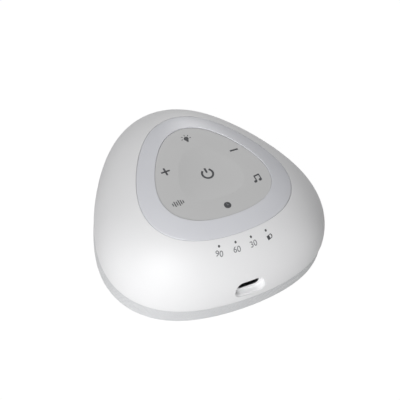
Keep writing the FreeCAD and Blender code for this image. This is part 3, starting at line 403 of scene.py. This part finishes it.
def makeShell():
    low = form["shellBottom"]
    corner = shell["edgeRound"]
    stations = [(form["meanRadius"] - corner, low)]
    for step in range(1, shell["roundSteps"]):
        turn = math.pi / 2 * step / shell["roundSteps"]
        share = form["meanRadius"] - corner * (1 - math.sin(turn))
        stations.append((share, low + corner * (1 - math.cos(turn))))
    footShare = form["meanRadius"] * form["domeFoot"]
    rim = shell["opening"] + shell["openingRound"]
    stations += domeRun(footShare, rim, shell["faceStations"])
    top = domeHeight(shell["opening"])
    stations.append((shell["opening"], top - shell["openingRound"]))
    stations.append((shell["opening"], domeHeight(shell["opening"], shell["ledgeTop"])))
    ledge = shell["opening"] - shell["ledgeReach"]
    stations.append((ledge, domeHeight(ledge, shell["ledgeTop"])))
    stations.append((ledge, domeHeight(ledge, shell["ledgeLow"])))
    inner = shell["opening"] + shell["ledgeReach"]
    stations.append((inner, domeHeight(inner, shell["ledgeLow"])))
    innerFoot = (form["meanRadius"] - shell["wall"]) * form["domeFoot"]
    stations += domeRun(inner, innerFoot, shell["innerStations"], shell["wall"])
    stations.append((form["meanRadius"] - shell["wall"], low))
    stations.append(stations[0])
    piece = sweepOutline("shellCover", stations, True)
    socketLow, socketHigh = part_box("usb_socket_shell")
    middleHeight = (socketLow.z + socketHigh.z) / 2
    face = form["meanRadius"] * domeShareAt(middleHeight) * swell(-math.pi / 2)
    floor = face - shell["portDepth"]
    # a block behind the recess carries its floor, as the wall alone is too thin there
    border = 2 * shell["portFloor"]
    combine(piece, sweepSlot(
        "portHousing", shell["portWidth"] + border, shell["portOpening"] + shell["portFloor"],
        middleHeight, [(-(floor - shell["portFloor"]), 0.0), (-(floor + shell["blockReach"]), 0.0)]),
        "UNION")
    lip = shell["portRound"]
    reach = shell["mouthStretch"] * lip
    mouth = [(-floor, 0.0), (-(face - reach), 0.0)]
    for step in range(1, shell["roundSteps"] + 1):
        turn = math.pi / 2 * step / shell["roundSteps"]
        mouth.append((-(face - reach + reach * math.sin(turn)), lip * (1 - math.cos(turn))))
    mouth.append((-(face + shell["mouthClear"]), lip))
    carve(piece, sweepSlot(
        "portCutter", shell["portWidth"] - lip, shell["portOpening"] - lip, middleHeight, mouth))
    carve(piece, sweepSlot(
        "slotCutter", shell["slotWidth"], shell["slotHeight"], middleHeight,
        [(-(floor - shell["slotInwards"]), 0.0), (-(floor + shell["slotClear"]), 0.0)]))
    for x, y in statusPlaces():
        clearSelection()
        bpy.ops.mesh.primitive_cylinder_add(
            vertices=shell["lightHolePoints"], radius=shell["lightHole"],
            depth=shell["lightHoleDepth"], location=(x, y, shell["lightHoleMiddle"]))
        bpy.ops.object.transform_apply(location=True)
        carve(piece, bpy.context.object)
    smoothPiece(piece, 32)
    dress(piece, shellAbs, "shell_white", "housing", "top_shell")


# Status lights: four pin holes on the front, with plain marks below them

status = {
    "spacing": 12.6,
    "steps": (-1.5, -0.5, 0.5, 1.5),
    "pipeRadius": 0.42 * mm,
    "markShare": 34.8 * mm,
    "markSize": 3.0 * mm,
    "markStretch": (1.05, 0.84, 1),
    "letterSteps": 8,
    "marks": ("90", "60", "30"),
}


def statusAngle(step):
    # the front is at 270 degrees, and the spacing is in degrees
    return math.radians(270 + step * status["spacing"])


def placeAt(share, angle):
    reach = share * swell(angle)
    return reach * math.cos(angle), reach * math.sin(angle)


def statusPlaces():
    # the middle of a frontmost pipe stands one pipe radius inside the front of their box
    angle = statusAngle(0.5)
    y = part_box("status_light_pipes")[0].y + status["pipeRadius"]
    share = outlineShare(y / math.tan(angle), y)
    return [placeAt(share, statusAngle(step)) for step in status["steps"]]


# Light ring

lightRing = {
    "outer": 29.6 * mm,
    "inner": 22.25 * mm,
    "thickness": 1.7 * mm,
    "edge": 0.12 * mm,
    "faceStations": 16,
    "backStations": 8,
}


def makeLightRing():
    outer, inner, edge = lightRing["outer"], lightRing["inner"], lightRing["edge"]
    thickness = lightRing["thickness"]
    stations = [(outer, domeHeight(outer, thickness)), (outer, domeHeight(outer) - edge)]
    stations += domeRun(outer - edge, inner + edge, lightRing["faceStations"])
    stations.append((inner, domeHeight(inner) - edge))
    stations += domeRun(inner, outer, lightRing["backStations"], thickness)
    piece = sweepOutline("ringDiffuser", stations, True)
    smoothPiece(piece)
    dress(piece, frostedRing, "ring_frosted", "housing", "light_ring")


# Keypad skin: a dished middle and six sectors that meet edge to edge

keypad = {
    "edge": 22.2 * mm,
    "top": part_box("keypad_skin")[1].z,
    "thickness": 0.6 * mm,
    "edgeRound": 0.15 * mm,
    "dishEdge": 12.64 * mm,
    "dishDepth": 0.8 * mm,
    "crownRise": 0.08 * mm,
    "crownFall": 0.32 * mm,
    "split": 12.9 * mm,
    "pressFlat": 2.2 * mm,
    "pressReach": 3.85 * mm,
    "dishFlat": 3.2 * mm,
    "dishReach": 11.5 * mm,
    "innermost": 0.4 * mm,
    "underStations": 8,
    "dishStations": 40,
    "crownStations": 16,
    "edgeSteps": 3,
    "halfSector": 30,
}
keyAngles = {"minus": 30, "light": 90, "plus": 150, "noise": 210, "timer": 270, "lullaby": 330}
signPlaces = {
    "minus": (14.77 * mm, 7.22 * mm),
    "light": (0.0, 18.64 * mm),
    "plus": (-14.77 * mm, 7.22 * mm),
    "noise": (-17.05 * mm, -8.11 * mm),
    "timer": (0.0, -15.78 * mm),
    "lullaby": (16.5 * mm, -8.5 * mm),
    "power": (0.2 * mm, 1.0 * mm),
}


def skinHeight(share):
    # a dish in the middle, and around it a crown that falls away a little to the edge
    inwards = min(1.0, share / keypad["dishEdge"])
    outwards = max(0.0, (share - keypad["dishEdge"]) / (keypad["edge"] - keypad["dishEdge"]))
    depth = keypad["dishDepth"] * (1 - inwards ** 2) + keypad["crownFall"] * outwards ** 2
    return keypad["top"] + keypad["crownRise"] - depth


def keypadHeight(x, y):
    return skinHeight(outlineShare(x, y) if (x or y) else 0.0)


def skinRun(fromShare, toShare, count, drop=0.0):
    run = []
    for index in range(count + 1):
        share = fromShare + (toShare - fromShare) * index / count
        run.append((share, skinHeight(share) - drop))
    return run


def pressBlend(piece):
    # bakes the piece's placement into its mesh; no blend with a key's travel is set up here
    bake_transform(piece)


def makeKeypad():
    split, thickness = keypad["split"], keypad["thickness"]
    centre = keypad["innermost"]
    stations = skinRun(centre, split, keypad["underStations"], thickness)
    stations += skinRun(split, centre, keypad["dishStations"])
    piece = sweepOutline("skinMiddle", stations, False)
    smoothPiece(piece)
    dress(piece, skinRubber, "skin_grey", None, "keypad_skin")
    pressBlend(piece)
    corner = keypad["edgeRound"]
    low = keypad["top"] - thickness
    shoulder = keypad["edge"] - corner
    stations = [(keypad["edge"], low)]
    for step in range(keypad["edgeSteps"]):
        turn = math.pi / 2 * step / keypad["edgeSteps"]
        stations.append((
            shoulder + corner * math.cos(turn), skinHeight(shoulder) - corner * (1 - math.sin(turn))))
    stations += skinRun(shoulder, split, keypad["crownStations"])
    stations += [(split, skinHeight(split) - thickness), (keypad["edge"], low)]
    whole = sweepOutline("skinRing", stations, True)
    for name, angle in keyAngles.items():
        makeActive(whole)
        bpy.ops.object.duplicate()
        sector = bpy.context.object
        sector.name = f"skin{name.capitalize()}"
        bpy.ops.object.mode_set(mode="EDIT")
        bpy.ops.mesh.select_mode(type="FACE")
        bpy.ops.mesh.select_all(action="DESELECT")
        bpy.ops.object.mode_set(mode="OBJECT")
        for face in sector.data.polygons:
            turn = math.degrees(math.atan2(face.center.y, face.center.x)) - angle
            face.select = abs((turn + 180) % 360 - 180) > keypad["halfSector"]
        bpy.ops.object.mode_set(mode="EDIT")
        bpy.ops.mesh.delete(type="FACE")
        bpy.ops.mesh.select_mode(type="VERT")
        bpy.ops.mesh.select_all(action="SELECT")
        bpy.ops.mesh.fill_holes(sides=0)
        bpy.ops.mesh.normals_make_consistent(inside=False)
        bpy.ops.object.mode_set(mode="OBJECT")
        smoothPiece(sector)
        dress(sector, skinRubber, "skin_grey", None, "keypad_skin")
        pressBlend(sector)
    bpy.data.objects.remove(whole)


# Printed signs: the shapes below are in millimetres and degrees

sign = {
    "thickness": 0.08 * mm,
    "lift": 0.02 * mm,
    "discPoints": 40,
    "arcPoints": 96,
    "barCuts": 3,
}


def signBar(x, y, length, width, turn=0.0):
    clearSelection()
    bpy.ops.mesh.primitive_plane_add(size=1, location=(x * mm, y * mm, 0))
    piece = bpy.context.object
    piece.scale = (length * mm, width * mm, 1)
    piece.rotation_euler = (0, 0, math.radians(turn))
    bpy.ops.object.transform_apply(location=True, rotation=True, scale=True)
    bpy.ops.object.mode_set(mode="EDIT")
    bpy.ops.mesh.select_all(action="SELECT")
    bpy.ops.mesh.subdivide(number_cuts=sign["barCuts"])
    bpy.ops.object.mode_set(mode="OBJECT")
    return piece


def signDisc(x, y, radius, squeeze=1.0, turn=0.0):
    clearSelection()
    bpy.ops.mesh.primitive_circle_add(
        vertices=sign["discPoints"], radius=radius * mm, fill_type="NGON", location=(x * mm, y * mm, 0))
    piece = bpy.context.object
    piece.scale = (1, squeeze, 1)
    piece.rotation_euler = (0, 0, math.radians(turn))
    bpy.ops.object.transform_apply(location=True, rotation=True, scale=True)
    return piece


def signArc(radius, width, gap, x=0.0, y=0.0):
    # a round stroke with a gap in degrees at its top
    clearSelection()
    bpy.ops.mesh.primitive_circle_add(
        vertices=sign["arcPoints"], radius=(radius - width / 2) * mm, location=(0, 0, 0))
    piece = bpy.context.object
    bpy.ops.object.mode_set(mode="EDIT")
    bpy.ops.mesh.select_all(action="SELECT")
    bpy.ops.mesh.extrude_region_move(TRANSFORM_OT_translate={"value": (0, 0, 0)})
    scale = (radius + width / 2) / (radius - width / 2)
    bpy.ops.transform.resize(value=(scale, scale, 1), center_override=(0, 0, 0))
    bpy.ops.mesh.select_mode(type="FACE")
    bpy.ops.mesh.select_all(action="DESELECT")
    bpy.ops.object.mode_set(mode="OBJECT")
    for face in piece.data.polygons:
        turn = math.degrees(math.atan2(face.center.y, face.center.x)) - 90
        face.select = abs((turn + 180) % 360 - 180) < gap / 2
    bpy.ops.object.mode_set(mode="EDIT")
    bpy.ops.mesh.delete(type="FACE")
    bpy.ops.mesh.select_mode(type="VERT")
    bpy.ops.object.mode_set(mode="OBJECT")
    piece.location = (x * mm, y * mm, 0)
    bpy.ops.object.transform_apply(location=True)
    return piece


def finishSign(name, parts, at, surfaceHeight, material, body, turn=0.0, lift=1.0):
    # joined, thickened, turned into place and laid on the surface below; lift counts layers
    clearSelection()
    for part in parts:
        part.select_set(True)
    bpy.context.view_layer.objects.active = parts[0]
    if len(parts) > 1:
        bpy.ops.object.join()
    piece = bpy.context.object
    piece.name = name
    bpy.ops.object.mode_set(mode="EDIT")
    bpy.ops.mesh.select_all(action="SELECT")
    bpy.ops.mesh.normals_make_consistent(inside=False)
    bpy.ops.object.mode_set(mode="OBJECT")
    if max(face.normal.z for face in piece.data.polygons) < 0:
        bpy.ops.object.mode_set(mode="EDIT")
        bpy.ops.mesh.flip_normals()
        bpy.ops.object.mode_set(mode="OBJECT")
    thick = piece.modifiers.new("Thick", "SOLIDIFY")
    thick.thickness = sign["thickness"]
    thick.offset = 0
    bpy.ops.object.modifier_apply(modifier=thick.name)
    spin = Matrix.Rotation(turn, 3, "Z")
    for vertex in piece.data.vertices:
        moved = spin @ vertex.co
        x, y = moved.x + at[0], moved.y + at[1]
        vertex.co = (x, y, moved.z + surfaceHeight(x, y) + sign["lift"] * lift)
    dress(piece, material, "key_plastic", body)
    return piece


def makeSigns():
    signs = {
        "power": [signArc(2.15, 0.78, 76), signBar(0, 1.62, 0.74, 2.2)],
        "minus": [signBar(0, 0, 3.4, 0.7)],
        "plus": [signBar(0, 0, 3.6, 0.66), signBar(0, 0, 0.66, 3.6)],
        "timer": [signDisc(0, 0, 1.4)],
        "lullaby": [
            signDisc(-1.05, -1.15, 0.68, 0.82, 20), signDisc(1.05, -0.85, 0.68, 0.82, 20),
            signBar(-0.58, 0.1, 0.4, 2.5), signBar(1.52, 0.4, 0.4, 2.5),
            signBar(0.47, 1.45, 2.45, 0.6, 8)],
        "light": [
            signDisc(0, 0.3, 0.95), signBar(0, -0.6, 0.95, 0.5), signBar(0, -1.0, 0.75, 0.2),
            signBar(0, -1.28, 0.5, 0.18)],
    }
    for turn in (0, 45, 90, 135, 180):
        angle = math.radians(turn)
        x, y = 1.72 * math.cos(angle), 0.3 + 1.72 * math.sin(angle)
        signs["light"].append(signBar(x, y, 0.62, 0.26, turn))
    signs["noise"] = []
    for index, height in enumerate((1.3, 2.4, 1.8, 2.7, 2.0, 1.3)):
        signs["noise"].append(signBar((index - 2.5) * 0.86, 0, 0.36, height))
    for name, parts in signs.items():
        finishSign(
            f"sign{name.capitalize()}", parts, signPlaces[name], keypadHeight, signInk,
            f"{name}_button")
    hands = [signBar(0, 0.4, 0.14, 0.9), signBar(0.28, 0, 0.6, 0.14)]
    finishSign(
        "signTimerHands", hands, signPlaces["timer"], keypadHeight, paleInk, "timer_button",
        0.0, 2.0)


def shellHeight(x, y):
    return domeHeight(outlineShare(x, y))


def makeStatusMarks():
    places = []
    for step in status["steps"]:
        angle = statusAngle(step)
        places.append((placeAt(status["markShare"], angle), angle + math.pi / 2))
    for index, text in enumerate(status["marks"]):
        clearSelection()
        bpy.ops.object.text_add()
        words = bpy.context.object
        words.data.body = text
        words.data.size = status["markSize"]
        words.data.align_x = "CENTER"
        words.data.align_y = "CENTER"
        words.data.resolution_u = status["letterSteps"]
        bpy.ops.object.convert(target="MESH")
        bpy.context.object.scale = status["markStretch"]
        bpy.ops.object.transform_apply(scale=True)
        at, turn = places[index]
        finishSign(
            f"mark{text}", [bpy.context.object], at, shellHeight, markInk, "housing", turn)
    at, turn = places[-1]
    cell = [
        signBar(0, 0.55, 2.0, 0.2), signBar(0, -0.55, 2.0, 0.2), signBar(-0.95, 0, 0.2, 1.2),
        signBar(0.95, 0, 0.2, 1.2), signBar(1.17, 0, 0.24, 0.55), signBar(-0.38, 0, 0.95, 0.9)]
    finishSign("markBattery", cell, at, shellHeight, signInk, "housing", turn)


# Cloth band

band = {"face": 44.6 * mm, "thickness": 0.4 * mm, "edge": 0.12 * mm, "rises": 7}


def makeCloth():
    low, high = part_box("speaker_cloth")
    face, edge = band["face"], band["edge"]
    inner = face - band["thickness"]
    stations = [(inner, low.z), (face - edge, low.z), (face, low.z + edge)]
    for index in range(1, band["rises"] + 1):
        climbed = (high.z - low.z - 2 * edge) * index / band["rises"]
        stations.append((face, low.z + edge + climbed))
    stations += [(face - edge, high.z), (inner, high.z), (inner, low.z)]
    piece = sweepOutline("clothBand", stations, True)
    weave = piece.data.uv_layers.new(name="weave")
    for side in piece.data.polygons:
        middle = math.atan2(side.center.y, side.center.x)
        for loop in side.loop_indices:
            place = piece.data.vertices[piece.data.loops[loop].vertex_index].co
            turn = math.atan2(place.y, place.x)
            if turn - middle > math.pi:
                turn -= 2 * math.pi
            if middle - turn > math.pi:
                turn += 2 * math.pi
            weave.data[loop].uv = (turn * form["meanRadius"], place.z)
    smoothPiece(piece)
    dress(piece, bandCloth, "cloth_grey", "housing", "speaker_cloth")


# Soft foot

foot = {
    "edge": 38.15 * mm,
    "edgeRound": 0.3 * mm,
    "grooves": 5,
    "grooveDepth": 0.3 * mm,
    "grooveSlope": 0.3 * mm,
    "grooveFlat": 0.6 * mm,
    "firstGroove": 0.55,
    "plainMiddle": 6 * mm,
    "innermost": 2 * mm,
}


def makeFoot():
    low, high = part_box("rubber_foot")
    share, edge = foot["edge"], foot["edgeRound"]
    grooveTop = low.z + foot["grooveDepth"]
    stations = [(share, high.z), (share, low.z + edge), (share - edge, low.z)]
    pitch = (share - foot["plainMiddle"]) / foot["grooves"]
    slope = foot["grooveSlope"]
    far = slope + foot["grooveFlat"]
    for index in range(foot["grooves"]):
        start = share - edge - (index + foot["firstGroove"]) * pitch
        stations += [
            (start, low.z), (start - slope, grooveTop), (start - far, grooveTop),
            (start - far - slope, low.z)]
    stations.append((foot["innermost"], low.z))
    piece = sweepOutline("softFoot", stations, False)
    smoothPiece(piece)
    dress(piece, slotMaterials["foot_rubber"], "foot_rubber", "housing", "rubber_foot")


# Studio

studio = {
    "ambient": 0.15,
    "lampAim": (0, 0, 0.015),
    "floorSize": 6,
    "floorHeight": -0.0002,
    "floorGlow": 1.05,
    "glowShare": 0.93,
    "frontLamp": {"at": (-0.53, -0.5, 0.53), "size": 0.8, "watts": 7.5},
    "rearLamp": {"at": (0.35, 0.6, 0.3), "size": 0.3, "watts": 1.8},
}


def addLamp(name, at, size, watts):
    clearSelection()
    bpy.ops.object.light_add(type="AREA", location=at)
    lamp = bpy.context.object
    lamp.name = name
    lamp.data.shape = "DISK"
    lamp.data.size = size
    lamp.data.energy = watts
    aim = Vector(studio["lampAim"]) - Vector(at)
    lamp.rotation_euler = aim.to_track_quat("-Z", "Y").to_euler()


def makeStudio():
    world = bpy.data.worlds.new("studioSky")
    bpy.context.scene.world = world
    world.use_nodes = True
    tree = world.node_tree
    tree.nodes.clear()
    rays = addNode(tree, "ShaderNodeLightPath")
    seen = addNode(tree, "ShaderNodeMath", {"operation": "ADD", "use_clamp": True}, {
        0: (rays, "Is Camera Ray"), 1: (rays, "Is Transmission Ray")})
    level = addNode(tree, "ShaderNodeMix", {
        "data_type": "FLOAT", 2: studio["ambient"], 3: 1.0}, {0: (seen, "Value")})
    sky = addNode(tree, "ShaderNodeBackground", {"Color": (1, 1, 1, 1)}, {
        "Strength": (level, 0)})
    addNode(tree, "ShaderNodeOutputWorld", {}, {"Surface": (sky, "Background")})
    clearSelection()
    bpy.ops.mesh.primitive_plane_add(size=studio["floorSize"], location=(0, 0, studio["floorHeight"]))
    floor = bpy.context.object
    floor.name = "studioFloor"
    material = bpy.data.materials.new("paleFloor")
    material.use_nodes = True
    tree = material.node_tree
    tree.nodes.clear()
    rays = addNode(tree, "ShaderNodeLightPath")
    matt = addNode(tree, "ShaderNodeBsdfDiffuse", {"Color": (0.8, 0.8, 0.8, 1)})
    glow = addNode(tree, "ShaderNodeEmission", {"Color": (1, 1, 1, 1), "Strength": studio["floorGlow"]})
    share = addNode(tree, "ShaderNodeMath", {"operation": "MULTIPLY", 1: studio["glowShare"]}, {
        0: (rays, "Is Camera Ray")})
    both = addNode(tree, "ShaderNodeMixShader", {}, {
        0: (share, "Value"), 1: (matt, "BSDF"), 2: (glow, "Emission")})
    addNode(tree, "ShaderNodeOutputMaterial", {}, {"Surface": (both, "Shader")})
    floor.data.materials.append(material)
    addLamp("frontLamp", *studio["frontLamp"].values())
    addLamp("rearLamp", *studio["rearLamp"].values())
    bpy.context.scene.view_settings.view_transform = "Standard"


# Camera: turned to the left of the front, looking down, slightly rolled. The focal length and
# the body's middle are in the photograph's pixels, and the sensor is in millimetres.

view = {
    "azimuth": -36.1,
    "elevation": 51.255,
    "roll": 11.397,
    "distance": 686.6 * mm,
    "focal": 1775.34,
    "aimHeight": 18.85 * mm,
    "middle": (203.36, 200.09),
    "pixels": 400,
    "sensor": 36,
    "clipStart": 0.01,
}


def makeCamera():
    azimuth, elevation = math.radians(view["azimuth"]), math.radians(view["elevation"])
    roll = math.radians(view["roll"])
    back = Vector((
        math.sin(azimuth) * math.cos(elevation), -math.cos(azimuth) * math.cos(elevation),
        math.sin(elevation)))
    right = Vector((math.cos(azimuth), math.sin(azimuth), 0))
    up = back.cross(right)
    tilted = right * math.cos(roll) + up * math.sin(roll)
    up = up * math.cos(roll) - right * math.sin(roll)
    clearSelection()
    bpy.ops.object.camera_add()
    camera = bpy.context.object
    camera.matrix_world = Matrix((tilted, up, back)).transposed().to_4x4()
    camera.location = Vector((0, 0, view["aimHeight"])) + back * view["distance"]
    camera.data.sensor_width = view["sensor"]
    camera.data.lens = view["focal"] / view["pixels"] * camera.data.sensor_width
    half = view["pixels"] / 2
    camera.data.shift_x = (half - view["middle"][0]) / view["pixels"]
    camera.data.shift_y = (view["middle"][1] - half) / view["pixels"]
    camera.data.clip_start = view["clipStart"]
    camera.data.dof.use_dof = False
    bpy.context.scene.camera = camera


makeCamera()
makeStudio()
print("camera and studio are set")
makeShell()
print("shell is made")
makeLightRing()
makeKeypad()
print("ring and keypad are made")
makeSigns()
makeStatusMarks()
print("signs are made")
makeCloth()
makeFoot()
print("band and foot are made")
clearSelection()
